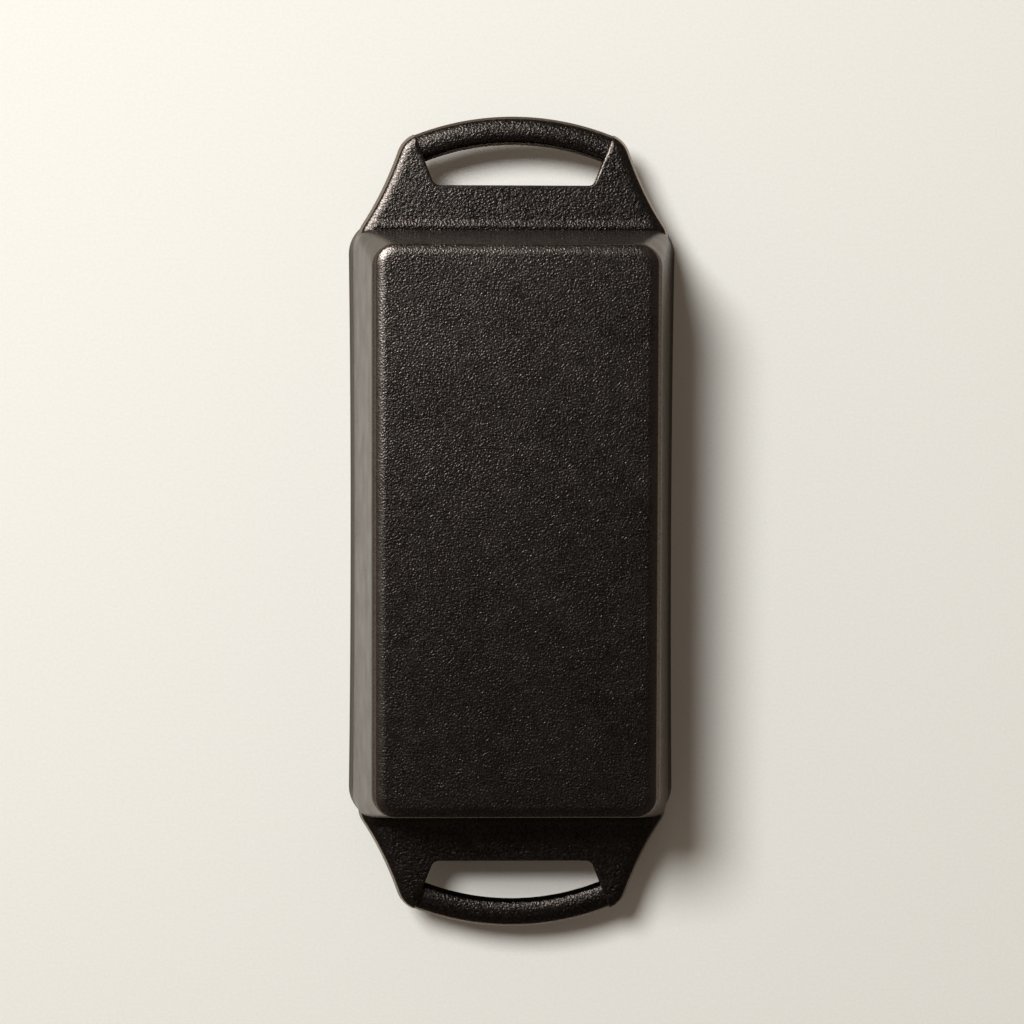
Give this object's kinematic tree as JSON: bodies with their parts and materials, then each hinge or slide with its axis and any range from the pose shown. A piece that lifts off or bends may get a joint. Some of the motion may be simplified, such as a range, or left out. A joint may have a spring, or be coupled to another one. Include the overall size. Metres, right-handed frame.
{
  "type": "loaf pan",
  "caption": "Cast iron loaf pan lying base up: tapered tub with raised base panel and lipped rim, and a looped handle with an oval bowed grip at each end.",
  "frame": {"origin": "centre of the mouth plane, on which the pan rests upside down", "axes": "+Z from the mouth up to the base, Y along the pan with a handle at each end, X across it"},
  "size_m": [0.1296, 0.3182, 0.073],
  "materials": {
    "smooth_iron": "smooth satin seasoned iron",
    "pebbled_iron": "pebbled as-cast seasoned iron"
  },
  "bodies": {
    "root": {"pan_shell": "smooth_iron", "rim_band": "smooth_iron", "base_panel": "pebbled_iron", "handle_plate_rear": "pebbled_iron", "handle_plate_front": "pebbled_iron", "grip_bar_rear": "pebbled_iron", "grip_bar_front": "pebbled_iron"}
  },
  "joints": []
}
